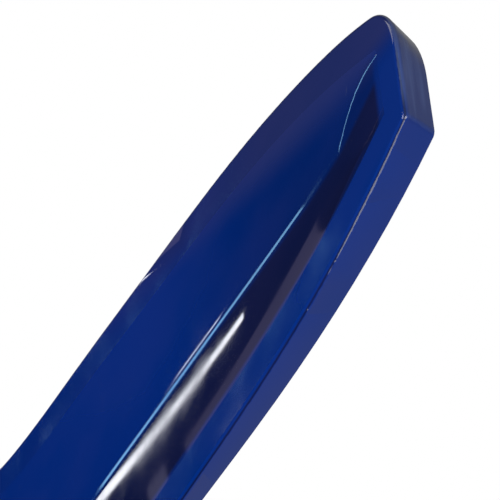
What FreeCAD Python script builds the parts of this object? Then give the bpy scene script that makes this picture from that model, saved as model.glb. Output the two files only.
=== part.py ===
import FreeCAD
import Part
import math
import os

# Windshield ice scraper: a long, flat, boat-shaped handle moulded in one piece with a flared head.
# A brass blade is clamped under the head by a bar, three screws and three captive nuts, and a soft
# pad is bonded to the underside of the handle.
#
# Frame, in millimetres: the scraper lies on its underside on z = 0, dished side up. X runs along the
# length, with the butt of the handle at +X and the blade at -X. The origin is under the middle.

# ---- overall ----
LENGTH = 266.0            # blade edge to the sharp top edge of the butt, before it is rounded
HEIGHT = 7.0              # underside to the flat rim on top
HEAD_WIDTH = 100.0

# ---- handle body ----
BLADE_REACH = 12.0        # how far the blade stands out of the head
BUTT_HALF_WIDTH = 11.4        # where the sides would meet the butt line, without the corners' rounding
SIDE_FLARE = math.radians(18.5)   # angle of the sides to the length, next to the butt
# distance from the butt and half width, along one side of the handle and its head
SIDE_STATIONS = [
    (39.0, 21.3),
    (72.0, 25.3),
    (112.0, 27.6),
    (156.0, 29.7),
    (202.0, 32.1),
    (220.0, 35.6),
    (238.0, 44.6),
    (LENGTH - BLADE_REACH, HEAD_WIDTH / 2),
]
SIDE_DRAFT = math.radians(7.0)
BUTT_BEVEL = math.radians(27.0)
ROUND_CORNER_TOP_RADIUS = 10.0    # the butt corner at +Y, at the rim
ROUND_CORNER_FOOT_RADIUS = 17.0   # the same corner at the underside
CRISP_CORNER_RADIUS = 1.2         # the butt corner at -Y
TOP_EDGE_RADIUS = 0.8
BUTT_EDGE_LOSS = TOP_EDGE_RADIUS * (1 / math.tan((math.pi / 2 - BUTT_BEVEL) / 2) - 1)
BUTT_X = (LENGTH + BUTT_EDGE_LOSS) / 2    # keeps the rounded scraper centred on the origin
HEAD_THICKNESS = 4.2
TAPER_LENGTH = 120.0          # the handle thins from the butt over this length
FOOT_LENGTH = 4.0             # full height for this length next to the butt

# ---- dished top ----
RIM_WIDTH = 7.1
DISH_DEPTH = 2.75
DISH_SLOPE = 0.24             # fall over run of the side walls where the dish is narrow
SLOPE_BOW = math.radians(2.6)     # how much flatter a side wall is by the valley than on average
DISH_END_SLOPE = 0.10         # fall over run of the wall at the butt and at the head
VALLEY_RADIUS = 20.0
DISH_END = 219.0              # distance from the butt to the far end of the dish
DISH_STATIONS = [-3.0, 8.0, 20.0, 32.0, 46.0, 64.0, 88.0, 114.0, 140.0, 166.0, 192.0, 220.0]

# ---- head ----
HEAD_BEVEL_LENGTH = 16.0
HEAD_EDGE_THICKNESS = 2.2
CHIPPER_COUNT = 9
CHIPPER_PITCH = 10.4
CHIPPER_LENGTH = 13.0
CHIPPER_WIDTH = 3.2
CHIPPER_DROP = 0.4            # top of a tooth at its front, below the rim

# ---- blade, clamp and fasteners ----
BLADE_THICKNESS = 1.0
BLADE_BACK = 228.0            # distance from the butt to the back edge of the blade
BLADE_WIDTH = 98.0
BLADE_BACK_WIDTH = 72.0
BLADE_SHOULDER = 250.0        # distance from the butt to where the blade is full width
BLADE_BEVEL = 2.0
CLAMP_BACK = 226.0
CLAMP_FRONT = 251.0
CLAMP_BACK_WIDTH = 72.0
CLAMP_FRONT_WIDTH = 94.0
CLAMP_CORNER_RADIUS = 3.0
SCREW_STATION = 234.0
SCREW_OFFSETS = [-30.0, 0.0, 30.0]
SCREW_RADIUS = 1.5            # M3
SCREW_HOLE_RADIUS = 1.7
SCREW_HEAD_RADIUS = 2.8
SCREW_HEAD_HEIGHT = 1.5
SCREW_LENGTH = 6.6
DRIVE_ACROSS_FLATS = 2.0
DRIVE_DEPTH = 0.9
NUT_ACROSS_FLATS = 5.5
NUT_THICKNESS = 2.4
NUT_SEAT = 4.4                # height of the seat that the nut bears on
NUT_POCKET_ACROSS_FLATS = 5.6

# ---- grip pad ----
PAD_START = 30.0
PAD_END = 110.0
PAD_BUTT_HALF_WIDTH = 12.0
PAD_HEAD_HALF_WIDTH = 18.0
PAD_GROOVE_PITCH = 6.0
PAD_GROOVE_WIDTH = 1.6
PAD_GROOVE_DEPTH = 0.35
PAD_CORNER_RADIUS = 5.0

UP = FreeCAD.Vector(0, 0, 1)
REACH = 400.0                 # longer than the scraper, for cutting tools


def vec(x, y, z):
    return FreeCAD.Vector(x, y, z)


def along(distance):
    """X of a point at this distance from the butt."""
    return BUTT_X - distance


def polygon_prism(points, direction):
    """The closed polygon through the points, pushed along the direction."""
    wire = Part.makePolygon(points + [points[0]])
    return Part.Face(wire).extrude(direction)


def butt_corner(inset, end_shift, z, side, radius):
    """Three points of the arc at one corner of the butt, from the butt line round to the side."""
    corner_x = along(end_shift)
    corner_y = BUTT_HALF_WIDTH + math.tan(SIDE_FLARE) * end_shift - inset
    turn = math.pi / 2 - SIDE_FLARE
    tangent_length = radius * math.tan(turn / 2)
    centre_x = corner_x - radius
    centre_y = corner_y - tangent_length
    points = []
    for angle in (0.0, turn / 2, turn):
        x = centre_x + radius * math.cos(angle)
        y = centre_y + radius * math.sin(angle)
        points.append(vec(x, side * y, z))
    return points


def side_curve(inset, start, side):
    """One side of the outline, from its start on the rounded corner to the front of the head."""
    points = [start]
    for distance, half_width in SIDE_STATIONS:
        points.append(vec(along(distance), side * (half_width - inset), start.z))
    tangents = [vec(-math.cos(SIDE_FLARE), side * math.sin(SIDE_FLARE), 0)] * len(points)
    tangent_flags = [True] + [False] * len(SIDE_STATIONS)
    curve = Part.BSplineCurve()
    curve.interpolate(Points=points, Tangents=tangents, TangentFlags=tangent_flags)
    return curve


def outline(inset, end_shift, z, round_radius):
    """Outline of the handle and head at height z, drawn in by inset, its butt moved by end_shift."""
    round_corner = butt_corner(inset, end_shift, z, 1, round_radius)
    crisp_corner = butt_corner(inset, end_shift, z, -1, CRISP_CORNER_RADIUS)
    left = side_curve(inset, round_corner[2], 1).toShape()
    right = side_curve(inset, crisp_corner[2], -1).toShape()
    return Part.Wire([
        Part.makeLine(crisp_corner[0], round_corner[0]),
        Part.Arc(*round_corner).toShape(),
        left,
        Part.makeLine(left.lastVertex().Point, right.lastVertex().Point),
        right,
        Part.Arc(*crisp_corner).toShape(),
    ])


def half_width(distance):
    """Half width of the outline at the rim, at this distance from the butt."""
    butt_end = vec(along(0.0), BUTT_HALF_WIDTH, HEIGHT)
    cutter = Part.Plane(vec(along(distance), 0, 0), vec(1, 0, 0))
    crossings = side_curve(0.0, butt_end, 1).intersect(cutter)[0]
    return crossings[0].Y


def below_underside():
    """Everything under the handle: level at the foot, then rising to the underside of the head."""
    rise = HEIGHT - HEAD_THICKNESS
    profile = [
        vec(REACH, -REACH, -REACH),
        vec(REACH, -REACH, 0),
        vec(along(FOOT_LENGTH), -REACH, 0),
        vec(along(TAPER_LENGTH), -REACH, rise),
        vec(-REACH, -REACH, rise),
        vec(-REACH, -REACH, -REACH),
    ]
    return polygon_prism(profile, vec(0, 2 * REACH, 0))


def blank():
    """The handle and head before anything is cut into them: drafted sides and a bevelled butt."""
    side_inset = HEIGHT * math.tan(SIDE_DRAFT)
    butt_shift = HEIGHT * math.tan(BUTT_BEVEL)
    rim_wire = outline(0.0, 0.0, HEIGHT, ROUND_CORNER_TOP_RADIUS)
    foot_wire = outline(side_inset, butt_shift, 0.0, ROUND_CORNER_FOOT_RADIUS)
    return Part.makeLoft([foot_wire, rim_wire], True, True).cut(below_underside())


def rim_edges(shape):
    """The outer edges of the rim, without the one along the front of the head."""
    found = []
    for edge in shape.Edges:
        level = edge.BoundBox.ZMin > HEIGHT - 0.01
        front = edge.BoundBox.XMax < along(LENGTH - BLADE_REACH) + 0.1
        if level and not front:
            found.append(edge)
    return found


def rounded_blank():
    shape = blank()
    return shape.makeFillet(TOP_EDGE_RADIUS, rim_edges(shape))


def dish_section(distance):
    """Closed section of the dish: a rounded valley between two slightly bowed slopes."""
    reach = half_width(max(distance, 0.0)) - RIM_WIDTH
    depth = DISH_DEPTH * math.tanh(DISH_SLOPE * reach / DISH_DEPTH)
    low_tilt = math.atan(depth / reach) - SLOPE_BOW
    valley_y = VALLEY_RADIUS * math.sin(low_tilt)
    valley_z = HEIGHT - depth + VALLEY_RADIUS * (1 - math.cos(low_tilt))
    chord_tilt = math.atan((HEIGHT - valley_z) / (reach - valley_y))
    half_turn = chord_tilt - low_tilt
    sag = (reach - valley_y) / math.cos(chord_tilt) / 2 * math.tan(half_turn / 2)
    middle_y = (reach + valley_y) / 2 + sag * math.sin(chord_tilt)
    middle_z = (HEIGHT + valley_z) / 2 - sag * math.cos(chord_tilt)
    above = 0.5
    top_y = reach + above / math.tan(chord_tilt + half_turn)
    x = along(distance)
    profile = [
        (top_y, HEIGHT + above),
        (reach, HEIGHT),
        (middle_y, middle_z),
        (valley_y, valley_z),
    ]
    left = [vec(x, y, z) for y, z in profile]
    right = [vec(x, -y, z) for y, z in profile]
    bottom = vec(x, 0, HEIGHT - depth)
    return Part.Wire([
        Part.makeLine(left[0], left[1]),
        Part.Arc(left[1], left[2], left[3]).toShape(),
        Part.Arc(left[3], bottom, right[3]).toShape(),
        Part.Arc(right[3], right[2], right[1]).toShape(),
        Part.makeLine(right[1], right[0]),
        Part.makeLine(right[0], left[0]),
    ])


def dish():
    """The hollow on top: a long V valley that two sloping end walls close like a hipped roof."""
    trough = Part.makeLoft([dish_section(distance) for distance in DISH_STATIONS], True, False)
    above = 0.6
    fall = 4.0
    start = RIM_WIDTH
    profile = [
        vec(along(start - above / DISH_END_SLOPE), -REACH, HEIGHT + above),
        vec(along(start + fall / DISH_END_SLOPE), -REACH, HEIGHT - fall),
        vec(along(DISH_END - fall / DISH_END_SLOPE), -REACH, HEIGHT - fall),
        vec(along(DISH_END + above / DISH_END_SLOPE), -REACH, HEIGHT + above),
    ]
    return trough.common(polygon_prism(profile, vec(0, 2 * REACH, 0)))


def head_bevel():
    """What is planed off the top of the head towards its front edge."""
    front = LENGTH - BLADE_REACH
    start = front - HEAD_BEVEL_LENGTH
    edge_top = HEIGHT - HEAD_THICKNESS + HEAD_EDGE_THICKNESS
    profile = [
        vec(along(start), -REACH, HEIGHT),
        vec(along(front), -REACH, edge_top),
        vec(along(front + 5), -REACH, edge_top),
        vec(along(front + 5), -REACH, HEIGHT + 5),
        vec(along(start), -REACH, HEIGHT + 5),
    ]
    return polygon_prism(profile, vec(0, 2 * REACH, 0))


def chipper_tooth(y):
    """One ice-chipping tooth, standing on the bevel of the head."""
    front = LENGTH - BLADE_REACH
    start = front - HEAD_BEVEL_LENGTH
    tip = start + CHIPPER_LENGTH
    profile = [
        vec(along(start - 1), y - CHIPPER_WIDTH / 2, HEIGHT),
        vec(along(start - 1), y - CHIPPER_WIDTH / 2, HEIGHT - HEAD_EDGE_THICKNESS),
        vec(along(tip), y - CHIPPER_WIDTH / 2, HEIGHT - HEAD_EDGE_THICKNESS),
        vec(along(tip), y - CHIPPER_WIDTH / 2, HEIGHT - CHIPPER_DROP),
    ]
    return polygon_prism(profile, vec(0, CHIPPER_WIDTH, 0))


def screw_places():
    return [vec(along(SCREW_STATION), y, 0) for y in SCREW_OFFSETS]


def hexagon(across_flats, centre, height):
    """Upright hexagonal prism standing on its centre point."""
    radius = across_flats / math.sqrt(3)
    points = []
    for corner in range(6):
        angle = math.radians(60 * corner)
        points.append(centre + vec(radius * math.cos(angle), radius * math.sin(angle), 0))
    return polygon_prism(points, vec(0, 0, height))


def handle_body():
    body = rounded_blank().cut(dish()).cut(head_bevel())
    teeth_span = CHIPPER_PITCH * (CHIPPER_COUNT - 1)
    for tooth in range(CHIPPER_COUNT):
        body = body.fuse(chipper_tooth(tooth * CHIPPER_PITCH - teeth_span / 2))
    body = body.removeSplitter()
    for place in screw_places():
        seat = place + vec(0, 0, NUT_SEAT)
        body = body.cut(Part.makeCylinder(SCREW_HOLE_RADIUS, HEIGHT, place, UP))
        body = body.cut(hexagon(NUT_POCKET_ACROSS_FLATS, seat, HEIGHT))
    return body


def trapezoid(back, back_width, front, front_width, low, high):
    """Flat plate that widens from its back edge to its front edge."""
    points = [
        vec(along(back), -back_width / 2, low),
        vec(along(back), back_width / 2, low),
        vec(along(front), front_width / 2, low),
        vec(along(front), -front_width / 2, low),
    ]
    return polygon_prism(points, vec(0, 0, high - low))


def scraper_blade():
    top = HEIGHT - HEAD_THICKNESS
    bottom = top - BLADE_THICKNESS
    tang = trapezoid(BLADE_BACK, BLADE_BACK_WIDTH, BLADE_SHOULDER, BLADE_WIDTH, bottom, top)
    tip = trapezoid(BLADE_SHOULDER, BLADE_WIDTH, LENGTH, BLADE_WIDTH, bottom, top)
    blade = tang.fuse(tip).removeSplitter()
    grinding = [
        vec(along(LENGTH - BLADE_BEVEL), -REACH, top),
        vec(along(LENGTH), -REACH, bottom + 0.15),
        vec(along(LENGTH), -REACH, top),
    ]
    blade = blade.cut(polygon_prism(grinding, vec(0, 2 * REACH, 0)))
    for place in screw_places():
        blade = blade.cut(Part.makeCylinder(SCREW_HOLE_RADIUS, HEIGHT, place, UP))
    return blade


def blade_clamp():
    top = HEIGHT - HEAD_THICKNESS - BLADE_THICKNESS
    clamp = trapezoid(CLAMP_BACK, CLAMP_BACK_WIDTH, CLAMP_FRONT, CLAMP_FRONT_WIDTH, 0.0, top)
    corners = [edge for edge in clamp.Edges if edge.BoundBox.ZLength > top - 0.01]
    clamp = clamp.makeFillet(CLAMP_CORNER_RADIUS, corners)
    ramp = [
        vec(along(CLAMP_FRONT - 4), -REACH, 0),
        vec(along(CLAMP_FRONT), -REACH, top - 0.6),
        vec(along(CLAMP_FRONT), -REACH, 0),
    ]
    clamp = clamp.cut(polygon_prism(ramp, vec(0, 2 * REACH, 0)))
    for place in screw_places():
        clamp = clamp.cut(Part.makeCylinder(SCREW_HOLE_RADIUS, HEIGHT, place, UP))
        clamp = clamp.cut(Part.makeCone(SCREW_HEAD_RADIUS, SCREW_RADIUS, SCREW_HEAD_HEIGHT, place, UP))
    return clamp


def clamp_screw(place):
    head = Part.makeCone(SCREW_HEAD_RADIUS, SCREW_RADIUS, SCREW_HEAD_HEIGHT, place, UP)
    shank = Part.makeCylinder(SCREW_RADIUS, SCREW_LENGTH, place, UP)
    socket = hexagon(DRIVE_ACROSS_FLATS, place, DRIVE_DEPTH)
    return head.fuse(shank).removeSplitter().cut(socket)


def clamp_nut(place):
    seat = place + vec(0, 0, NUT_SEAT)
    nut = hexagon(NUT_ACROSS_FLATS, seat, NUT_THICKNESS)
    return nut.cut(Part.makeCylinder(SCREW_RADIUS, NUT_THICKNESS, seat, UP))


def grip_pad():
    """Soft pad that fills the wedge between the underside of the handle and the ground."""
    plan = trapezoid(PAD_START, 2 * PAD_BUTT_HALF_WIDTH, PAD_END, 2 * PAD_HEAD_HALF_WIDTH, 0.0, HEIGHT)
    corners = [edge for edge in plan.Edges if edge.BoundBox.ZLength > HEIGHT - 0.01]
    pad = plan.makeFillet(PAD_CORNER_RADIUS, corners).common(below_underside())
    count = int((PAD_END - PAD_START) / PAD_GROOVE_PITCH)
    for groove in range(1, count):
        start = PAD_START + groove * PAD_GROOVE_PITCH
        cutter = Part.makeBox(PAD_GROOVE_WIDTH, 2 * REACH, PAD_GROOVE_DEPTH, vec(along(start), -REACH, 0))
        pad = pad.cut(cutter)
    return pad


def group(shapes):
    return Part.makeCompound(shapes)


nodes = {
    "handle_body": handle_body(),
    "grip_pad": grip_pad(),
    "scraper_blade": scraper_blade(),
    "blade_clamp": blade_clamp(),
    "clamp_screws": group([clamp_screw(place) for place in screw_places()]),
    "clamp_nuts": group([clamp_nut(place) for place in screw_places()]),
}

os.makedirs("parts", exist_ok=True)
for name, shape in nodes.items():
    shape.exportStep("parts/" + name + ".step")
    box = shape.BoundBox
    print(name, shape.isValid(), len(shape.Solids), "solids", round(shape.Volume), "mm3", box)
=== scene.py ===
import bmesh
import bpy
import math
import numpy as np
from mathutils import Matrix, Vector


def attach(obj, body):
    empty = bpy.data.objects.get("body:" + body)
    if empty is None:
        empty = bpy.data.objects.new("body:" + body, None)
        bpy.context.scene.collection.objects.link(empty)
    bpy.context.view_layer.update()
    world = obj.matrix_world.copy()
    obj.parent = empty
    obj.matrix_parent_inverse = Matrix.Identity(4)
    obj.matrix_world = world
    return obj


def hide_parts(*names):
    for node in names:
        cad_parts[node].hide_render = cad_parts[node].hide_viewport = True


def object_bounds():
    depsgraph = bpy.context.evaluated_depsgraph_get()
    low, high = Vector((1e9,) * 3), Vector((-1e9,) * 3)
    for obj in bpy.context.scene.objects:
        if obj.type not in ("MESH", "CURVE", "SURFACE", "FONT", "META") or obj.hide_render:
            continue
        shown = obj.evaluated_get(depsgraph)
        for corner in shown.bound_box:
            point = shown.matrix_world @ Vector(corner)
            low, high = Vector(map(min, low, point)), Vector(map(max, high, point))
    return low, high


# A windshield ice scraper on a white table: a long dished handle in glossy, deep blue, opaque
# plastic, seen along its length from the butt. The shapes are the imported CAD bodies, except that a
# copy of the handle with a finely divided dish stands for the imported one. This script adds that
# copy, the camera, the lights and a procedural material for each body.

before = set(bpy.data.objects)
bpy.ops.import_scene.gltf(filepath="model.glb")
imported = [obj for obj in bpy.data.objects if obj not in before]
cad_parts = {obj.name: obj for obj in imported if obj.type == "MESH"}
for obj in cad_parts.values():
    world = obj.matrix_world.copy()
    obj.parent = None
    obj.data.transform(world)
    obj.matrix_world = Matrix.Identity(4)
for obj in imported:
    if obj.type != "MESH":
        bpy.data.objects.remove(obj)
cad_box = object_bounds()

MM = 0.001
BUTT_X = cad_box[1][0]
RIM_Z = cad_box[1][2]

# ---------------------------------------------------------------- camera
CAMERA_AZIMUTH = 34.26      # degrees from +X towards -Y
CAMERA_ELEVATION = 21.0
CAMERA_ROLL = -82.18
CAMERA_DISTANCE = 545.45 * MM
CAMERA_LENS = 216.0
SENSOR_WIDTH = 36.0
CAMERA_TARGET = Vector((BUTT_X - 64.5 * MM, 2.2 * MM, RIM_Z))


def camera_axes():
    azimuth = math.radians(CAMERA_AZIMUTH)
    elevation = math.radians(CAMERA_ELEVATION)
    roll = math.radians(CAMERA_ROLL)
    back = Vector((
        math.cos(elevation) * math.cos(azimuth),
        -math.cos(elevation) * math.sin(azimuth),
        math.sin(elevation),
    ))
    level_right = (-back).cross(Vector((0, 0, 1))).normalized()
    level_up = level_right.cross(-back)
    right = math.cos(roll) * level_right + math.sin(roll) * level_up
    up = -math.sin(roll) * level_right + math.cos(roll) * level_up
    return right, up, back


def add_camera():
    right, up, back = camera_axes()
    data = bpy.data.cameras.new("camera")
    data.lens = CAMERA_LENS
    data.sensor_width = SENSOR_WIDTH
    data.clip_start = 0.01
    camera = bpy.data.objects.new("camera", data)
    bpy.context.scene.collection.objects.link(camera)
    turn = Matrix((right, up, back)).transposed().to_4x4()
    camera.matrix_world = Matrix.Translation(CAMERA_TARGET + back * CAMERA_DISTANCE) @ turn
    bpy.context.scene.camera = camera


# ---------------------------------------------------------------- light and table
WORLD_LEVEL = 0.004
FLOOR_SIZE = 4.0
FLOOR_SEEN = 1.0            # the table as the camera sees it
FLOOR_GLOW = 0.3            # the table as the plastic mirrors it
# Light cards stand on one upright plane beyond the far side of the handle. They show as streaks in
# its gloss. A place on that plane is its distance aside and its height above the rim.
CARD_AZIMUTH = math.radians(148.0)      # from +X towards +Y
CARD_DISTANCE = 0.8
AWAY = Vector((math.cos(CARD_AZIMUTH), math.sin(CARD_AZIMUTH), 0))
ASIDE = Vector((-math.sin(CARD_AZIMUTH), math.cos(CARD_AZIMUTH), 0))


def add_light(name, matrix, width, height, radiance, colour=(1, 1, 1)):
    """Rectangular light that shines along its own -Z; radiance is its level in a perfect mirror."""
    data = bpy.data.lights.new(name, "AREA")
    data.shape = "RECTANGLE"
    data.size = width
    data.size_y = height
    data.energy = radiance * width * height * math.pi
    data.color = colour
    light = bpy.data.objects.new(name, data)
    bpy.context.scene.collection.objects.link(light)
    light.matrix_world = matrix
    light.visible_camera = False


def add_softbox(name, place, size, radiance):
    """Large square light aimed at the visible end of the handle."""
    direction = CAMERA_TARGET - Vector(place)
    turn = direction.to_track_quat("-Z", "Y").to_matrix().to_4x4()
    add_light(name, Matrix.Translation(Vector(place)) @ turn, size, size, radiance)


def add_card(name, start, end, thickness, radiance, colour=(1, 1, 1)):
    """Light card beyond the handle, from start to end on the cards' plane."""
    first = ASIDE * start[0] + Vector((0, 0, start[1]))
    last = ASIDE * end[0] + Vector((0, 0, end[1]))
    along = (last - first).normalized()
    middle = Vector((CAMERA_TARGET.x, 0, RIM_Z)) + AWAY * CARD_DISTANCE + (first + last) / 2
    turn = Matrix((along, AWAY.cross(along), AWAY)).transposed().to_4x4()
    length = (last - first).length
    add_light(name, Matrix.Translation(middle) @ turn, length, thickness, radiance, colour)


def add_world():
    world = bpy.data.worlds.new("world")
    bpy.context.scene.world = world
    world.use_nodes = True
    background = world.node_tree.nodes["Background"]
    background.inputs["Color"].default_value = (1.0, 0.9, 0.85, 1)
    background.inputs["Strength"].default_value = WORLD_LEVEL


def add_floor():
    """White lightbox table: it glows, so nothing throws a shadow on it."""
    bpy.ops.mesh.primitive_plane_add(size=FLOOR_SIZE)
    floor = bpy.context.object
    floor.name = "floor"
    material = bpy.data.materials.new("white_table")
    material.use_nodes = True
    tree = material.node_tree
    tree.nodes.remove(tree.nodes["Principled BSDF"])
    glow = tree.nodes.new("ShaderNodeEmission")
    ray = tree.nodes.new("ShaderNodeLightPath")
    level = tree.nodes.new("ShaderNodeMapRange")
    level.inputs["To Min"].default_value = FLOOR_GLOW
    level.inputs["To Max"].default_value = FLOOR_SEEN
    tree.links.new(ray.outputs["Is Camera Ray"], level.inputs["Value"])
    tree.links.new(level.outputs["Result"], glow.inputs["Strength"])
    tree.links.new(glow.outputs["Emission"], tree.nodes["Material Output"].inputs["Surface"])
    floor.data.materials.append(material)


def add_lights():
    add_softbox("overhead", (0.05, -0.1, 1.2), size=0.9, radiance=5.3)
    add_softbox("key", (0.85, -0.72, 0.36), size=0.7, radiance=8.0)
    add_softbox("side", (-0.15, -1.0, 0.35), size=0.6, radiance=4.0)
    add_softbox("back", (0.0, 1.0, 0.8), size=0.6, radiance=2.5)
    add_card("white_card", (-0.048, 0.184), (0.070, 0.182), thickness=0.010, radiance=5.0,
             colour=(0.93, 0.95, 1.0))
    add_card("cyan_card", (-0.05, 0.319), (0.085, 0.243), thickness=0.034, radiance=3.0,
             colour=(0.30, 0.68, 1.0))
    add_card("edge_card", (0.03, 0.341), (0.062, 0.326), thickness=0.020, radiance=4.0,
             colour=(0.9, 0.95, 1.0))
    add_card("wall_card", (-0.108, 0.0), (0.003, 0.0), thickness=0.254, radiance=0.15,
             colour=(0.75, 0.65, 1.0))
    add_card("post_card", (0.018, 0.09), (0.032, 0.09), thickness=0.09, radiance=0.2,
             colour=(0.75, 0.7, 1.0))


# ---------------------------------------------------------------- materials
class Nodes:
    """Short names for building one material's node tree."""

    def __init__(self, name):
        self.material = bpy.data.materials.new(name)
        self.material.use_nodes = True
        self.tree = self.material.node_tree
        self.shader = self.tree.nodes["Principled BSDF"]
        self.place = self.tree.nodes.new("ShaderNodeTexCoord").outputs["Object"]

    def link(self, source, target):
        self.tree.links.new(source, target)

    def scaled(self, scale):
        mapping = self.tree.nodes.new("ShaderNodeMapping")
        mapping.inputs["Scale"].default_value = scale
        self.link(self.place, mapping.inputs["Vector"])
        return mapping.outputs["Vector"]

    def noise(self, scale, detail=2.0, stretch=(1, 1, 1)):
        noise = self.tree.nodes.new("ShaderNodeTexNoise")
        noise.inputs["Scale"].default_value = scale
        noise.inputs["Detail"].default_value = detail
        self.link(self.scaled(stretch), noise.inputs["Vector"])
        return noise.outputs["Fac"]

    def axis(self, letter):
        split = self.tree.nodes.new("ShaderNodeSeparateXYZ")
        self.link(self.place, split.inputs[0])
        return split.outputs[letter]

    def ramp(self, value, low, high, out_low=0.0, out_high=1.0):
        """Smooth step of the value from low to high."""
        node = self.tree.nodes.new("ShaderNodeMapRange")
        node.interpolation_type = "SMOOTHSTEP"
        node.inputs["From Min"].default_value = low
        node.inputs["From Max"].default_value = high
        node.inputs["To Min"].default_value = out_low
        node.inputs["To Max"].default_value = out_high
        self.link(value, node.inputs["Value"])
        return node.outputs["Result"]

    def math(self, operation, first, second):
        node = self.tree.nodes.new("ShaderNodeMath")
        node.operation = operation
        for socket, value in zip(node.inputs, (first, second)):
            if isinstance(value, (int, float)):
                socket.default_value = value
            else:
                self.link(value, socket)
        return node.outputs[0]

    def mix(self, amount, first, second):
        """Blend of two colours, each a tuple or a socket."""
        node = self.tree.nodes.new("ShaderNodeMix")
        node.data_type = "RGBA"
        self.link(amount, node.inputs["Factor"])
        for socket, value in ((node.inputs[6], first), (node.inputs[7], second)):
            if isinstance(value, tuple):
                socket.default_value = (*value, 1)
            else:
                self.link(value, socket)
        return node.outputs[2]

    def add_colour(self, first, second):
        node = self.tree.nodes.new("ShaderNodeMix")
        node.data_type = "RGBA"
        node.blend_type = "ADD"
        node.inputs["Factor"].default_value = 1.0
        self.link(first, node.inputs[6])
        self.link(second, node.inputs[7])
        return node.outputs[2]

    def normal(self, letter):
        """One part of the surface's direction, out of the geometry itself."""
        geometry = self.tree.nodes.new("ShaderNodeNewGeometry")
        split = self.tree.nodes.new("ShaderNodeSeparateXYZ")
        self.link(geometry.outputs["Normal"], split.inputs[0])
        return split.outputs[letter]

    def bump(self, height, strength, distance):
        node = self.tree.nodes.new("ShaderNodeBump")
        node.inputs["Strength"].default_value = strength
        node.inputs["Distance"].default_value = distance
        self.link(height, node.inputs["Height"])
        self.link(node.outputs["Normal"], self.shader.inputs["Normal"])

    def set(self, **values):
        for name, value in values.items():
            self.shader.inputs[name.replace("_", " ")].default_value = value


# far slope: its blue is painted lighter from butt to head, as painted shading
FAR_BLUE_AT_BUTT = (0.0, 0.011, 0.093)
FAR_BLUE_AT_HEAD = (0.0005, 0.017, 0.150)
# far slope's outer tint: a painted reflection of the pale overhead light
FAR_PAINTED_REFLECTION_AT_BUTT = (0.012, 0.020, 0.098)
FAR_PAINTED_REFLECTION_AT_HEAD = (0.009, 0.021, 0.145)
# near slope: painted shade, the dark that the glossy slope mirrors
NEAR_SLOPE_PAINTED_SHADE = (0.0028, 0.007, 0.046)
# rim and outer walls: a painted glow of light gathered in the thick plastic
RIM_PAINTED_GLOW = (0.0, 0.018, 0.150)
BLACK = (0.0, 0.0, 0.0)
FLOW_MARK = (0.003, 0.002, 0.004)
SCUFF = (0.05, 0.07, 0.12)


def blue_plastic():
    """Deep blue glossy plastic, painted by place: a painted glow in the rim, painted shade in the
    dish's near slope, a painted reflection on the far slope.
    """
    n = Nodes("blue_plastic")
    n.set(IOR=1.5)
    height = n.axis("Z")
    across = n.axis("Y")
    distance = n.math("SUBTRACT", BUTT_X, n.axis("X"))
    # along runs from butt to head; the far slope's colours are painted lighter along it, as painted
    # shading
    along = n.ramp(distance, 40.0 * MM, 130.0 * MM)

    # the far slope, with a painted reflection growing towards its outer edge
    beyond = n.math("SUBTRACT", across, n.math("MULTIPLY", distance, 0.17))
    painted_reflection_mask = n.ramp(beyond, 0.0, 8.0 * MM)
    far_blue = n.mix(along, FAR_BLUE_AT_BUTT, FAR_BLUE_AT_HEAD)
    far_painted_reflection = n.mix(along, FAR_PAINTED_REFLECTION_AT_BUTT, FAR_PAINTED_REFLECTION_AT_HEAD)
    far = n.mix(painted_reflection_mask, far_blue, far_painted_reflection)

    # the near slope, painted dark from the fold of the valley on: painted shade
    fold = n.math("SUBTRACT", 1.8 * MM, n.math("MULTIPLY", distance, 0.06))
    side = n.math("SUBTRACT", across, n.math("MAXIMUM", fold, -1.0 * MM))
    dish = n.mix(n.ramp(side, -0.8 * MM, 0.8 * MM), NEAR_SLOPE_PAINTED_SHADE, far)

    # the rim and the outside: the rim's near half and the outer walls painted brighter, a painted
    # glow of light in the thick plastic; towards the far side they take the far slope's colour
    rim = n.ramp(height, RIM_Z - 0.35 * MM, RIM_Z - 0.1 * MM)
    outside = n.ramp(n.normal("Z"), 0.5, 0.2)
    far_rim = n.ramp(across, 1.0 * MM, 9.0 * MM)
    edge = n.mix(far_rim, RIM_PAINTED_GLOW, far)
    body = n.mix(n.math("MAXIMUM", rim, outside), dish, edge)

    # flow marks all over and rubbed streaks on the butt face
    clouds = n.ramp(n.noise(60.0, 3.0, (0.4, 1.0, 1.0)), 0.35, 0.7)
    body = n.add_colour(body, n.mix(clouds, BLACK, FLOW_MARK))
    butt_face = n.ramp(n.normal("X"), 0.6, 0.8)
    streaks = n.ramp(n.noise(260.0, 4.0, (1.0, 0.12, 1.0)), 0.42, 0.75)
    scuffs = n.math("MULTIPLY", butt_face, n.ramp(streaks, 0.0, 1.0, 0.25, 1.0))
    body = n.add_colour(body, n.mix(scuffs, BLACK, SCUFF))
    n.link(body, n.shader.inputs["Base Color"])

    polish = n.ramp(n.noise(90.0, 4.0), 0.3, 0.8, 0.03, 0.08)
    n.link(n.math("ADD", polish, n.math("MULTIPLY", scuffs, 0.25)), n.shader.inputs["Roughness"])
    n.bump(n.noise(70.0, 2.0, (0.2, 1.0, 1.0)), 0.012, 0.2 * MM)
    return n.material


def plain(name, colour, roughness, metallic=0.0):
    """Evenly grained material; the grain varies its colour, roughness and height a little."""
    n = Nodes(name)
    n.set(Metallic=metallic)
    grain = n.noise(400.0, 4.0)
    darker = tuple(0.8 * part for part in colour)
    n.link(n.mix(grain, darker, colour), n.shader.inputs["Base Color"])
    n.link(n.ramp(grain, 0.2, 0.8, roughness, roughness + 0.12), n.shader.inputs["Roughness"])
    n.bump(grain, 0.2, 0.05 * MM)
    return n.material


def assign(piece, material):
    piece.data.materials.clear()
    piece.data.materials.append(material)


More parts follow.
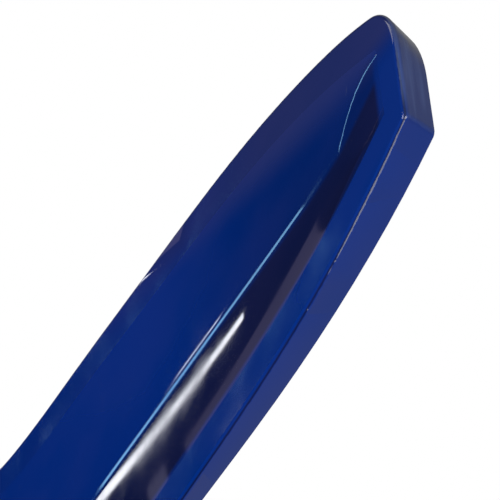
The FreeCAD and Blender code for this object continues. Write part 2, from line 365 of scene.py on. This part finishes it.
# ---------------------------------------------------------------- dish
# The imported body's dish is a coarse mesh, which breaks up its mirror images. A copy of the body
# carries the same dish, finely divided and laid on the surface that these dimensions give. They
# repeat the CAD part's, and have to be changed together with them.
RIM_WIDTH = 7.1 * MM
DISH_DEPTH = 2.75 * MM
DISH_SLOPE = 0.24
DISH_END = 219.0 * MM
DISH_END_SLOPE = 0.10
SLOPE_BOW = math.radians(2.6)
VALLEY_RADIUS = 20.0 * MM
SHARP_BUTT_X = BUTT_X + 0.506 * MM      # where the butt's top edge would be without its rounding
HIP_SOFTNESS = 0.05 * MM
DISH_EDGE = 1.6 * MM                    # mesh edges longer than this are halved
DISH_ROUNDS = 3
RIM_TOLERANCE = 0.001 * MM
MERGE_DISTANCE = 0.0005 * MM
END_MARGIN = 0.5 * MM                   # keeps the dish's two end walls out of its side curve
SIDE_CURVE_DEGREE = 9
LEAST_REACH = 1.0 * MM
NORMAL_STEP = 0.02 * MM


def side_section(reach):
    """The trough where it reaches this far to each side: its depth as a function of y."""
    depth = DISH_DEPTH * math.tanh(DISH_SLOPE * reach / DISH_DEPTH)
    low_tilt = math.atan(depth / reach) - SLOPE_BOW
    valley_y = VALLEY_RADIUS * math.sin(low_tilt)
    valley_depth = depth - VALLEY_RADIUS * (1 - math.cos(low_tilt))
    chord_tilt = math.atan(valley_depth / (reach - valley_y))
    radius = math.hypot(valley_depth, reach - valley_y) / 2 / math.sin(chord_tilt - low_tilt)
    centre_y = valley_y - radius * math.sin(low_tilt)
    centre_up = radius * math.cos(low_tilt) - valley_depth

    def depth_at(y):
        y = abs(y)
        if y < valley_y:
            return depth - VALLEY_RADIUS + math.sqrt(VALLEY_RADIUS ** 2 - y * y)
        return math.sqrt(radius ** 2 - (y - centre_y) ** 2) - centre_up

    return depth_at


def soft_minimum(first, second, softness):
    """The smaller of two values, rounded over where they cross."""
    return (first + second - math.sqrt((first - second) ** 2 + softness ** 2)) / 2


def dish_depth(reach_at, x, y):
    distance = SHARP_BUTT_X - x
    trough = side_section(reach_at(distance))(y)
    wall = (distance - RIM_WIDTH) * DISH_END_SLOPE
    head_wall = (DISH_END - distance) * DISH_END_SLOPE
    return soft_minimum(soft_minimum(trough, wall, HIP_SOFTNESS), head_wall, HIP_SOFTNESS)


def sunk(face):
    return min(vertex.co.z for vertex in face.verts) < RIM_Z - RIM_TOLERANCE


def dish_faces(mesh):
    """Faces that hang below the rim and join up with the middle of the dish."""
    centre = Vector((SHARP_BUTT_X - DISH_END / 2, 0, RIM_Z))
    start = min((face for face in mesh.faces if face.normal.z > 0.9 and sunk(face)),
                key=lambda face: (face.calc_center_median() - centre).length)
    found = {start}
    waiting = [start]
    while waiting:
        for edge in waiting.pop().edges:
            for face in edge.link_faces:
                if face not in found and sunk(face):
                    found.add(face)
                    waiting.append(face)
    return found


def reach_function(faces):
    """Smooth curve through the places where the dish meets the rim."""
    distances = []
    reaches = []
    for vertex in {vertex for face in faces for vertex in face.verts}:
        distance = SHARP_BUTT_X - vertex.co.x
        at_side = RIM_WIDTH + END_MARGIN < distance < DISH_END - END_MARGIN
        if at_side and abs(vertex.co.z - RIM_Z) < RIM_TOLERANCE:
            distances.append(distance / DISH_END)
            reaches.append(abs(vertex.co.y))
    curve = np.polynomial.Polynomial.fit(distances, reaches, SIDE_CURVE_DEGREE)
    return lambda distance: max(float(curve(distance / DISH_END)), LEAST_REACH)


def divide_dish(mesh, in_dish):
    """Halves the dish's long edges, a few times over."""
    for _ in range(DISH_ROUNDS):
        faces = [face for face in mesh.faces if face[in_dish]]
        edges = {edge for face in faces for edge in face.edges if edge.calc_length() > DISH_EDGE}
        bmesh.ops.subdivide_edges(mesh, edges=list(edges), cuts=1, use_grid_fill=True)
        for face in mesh.faces:
            if face[in_dish] and not sunk(face):
                face[in_dish] = 0


def corner_key(place, normal):
    place_key = tuple(round(value / MM, 2) for value in place)
    normal_key = tuple(round(value, 1) for value in normal)
    return place_key + normal_key


def packed_corners(mesh):
    """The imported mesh's own corner normals, by place and face direction."""
    normals = {}
    for face in mesh.polygons:
        for loop in face.loop_indices:
            place = mesh.vertices[mesh.loops[loop].vertex_index].co
            normals[corner_key(place, face.normal)] = mesh.corner_normals[loop].vector.copy()
    return normals


def dish_normal(depth_at, place):
    slope_x = depth_at(place.x + NORMAL_STEP, place.y) - depth_at(place.x - NORMAL_STEP, place.y)
    slope_y = depth_at(place.x, place.y + NORMAL_STEP) - depth_at(place.x, place.y - NORMAL_STEP)
    return Vector((slope_x, slope_y, 2 * NORMAL_STEP)).normalized()


def set_normals(mesh, in_dish, depth_at, packed):
    """Exact normals in the dish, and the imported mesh's normals everywhere else."""
    exact = {}
    normals = []
    for face, is_dish in zip(mesh.polygons, in_dish):
        face.use_smooth = True
        for index in face.vertices:
            place = mesh.vertices[index].co
            if is_dish:
                if index not in exact:
                    exact[index] = dish_normal(depth_at, place)
                normals.append(exact[index])
            else:
                normals.append(packed.get(corner_key(place, face.normal), face.normal))
    mesh.normals_split_custom_set(normals)


def fine_body():
    """Copy of the handle's mesh with a finely divided dish."""
    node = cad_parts["handle_body"]
    shape = bmesh.new()
    shape.from_mesh(node.data)
    bmesh.ops.remove_doubles(shape, verts=shape.verts, dist=MERGE_DISTANCE)
    shape.normal_update()
    in_dish = shape.faces.layers.int.new("in_dish")
    faces = dish_faces(shape)
    reach_at = reach_function(faces)
    for face in faces:
        face[in_dish] = 1
    divide_dish(shape, in_dish)

    def depth_at(x, y):
        return dish_depth(reach_at, x, y)

    for vertex in shape.verts:
        if all(face[in_dish] for face in vertex.link_faces):
            vertex.co.z = RIM_Z - depth_at(vertex.co.x, vertex.co.y)
    mesh = bpy.data.meshes.new("handle_plastic")
    shape.to_mesh(mesh)
    marks = [item.value for item in mesh.attributes["in_dish"].data]
    set_normals(mesh, marks, depth_at, packed_corners(node.data))
    piece = bpy.data.objects.new("handle_plastic", mesh)
    bpy.context.scene.collection.objects.link(piece)
    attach(piece, "root")
    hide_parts("handle_body")
    return piece


bpy.context.scene.view_settings.view_transform = "Standard"
add_camera()
add_world()
add_floor()
add_lights()
assign(fine_body(), blue_plastic())
assign(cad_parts["grip_pad"], plain("soft_pad", (0.03, 0.03, 0.035), roughness=0.7))
blade_brass = plain("blade_brass", (0.80, 0.60, 0.27), roughness=0.3, metallic=1.0)
assign(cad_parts["scraper_blade"], blade_brass)
assign(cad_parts["blade_clamp"], plain("clamp_plastic", (0.02, 0.02, 0.025), roughness=0.5))
screw_steel = plain("screw_steel", (0.62, 0.63, 0.64), roughness=0.3, metallic=1.0)
assign(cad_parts["clamp_screws"], screw_steel)
nut_brass = plain("nut_brass", (0.78, 0.60, 0.30), roughness=0.35, metallic=1.0)
assign(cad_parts["clamp_nuts"], nut_brass)
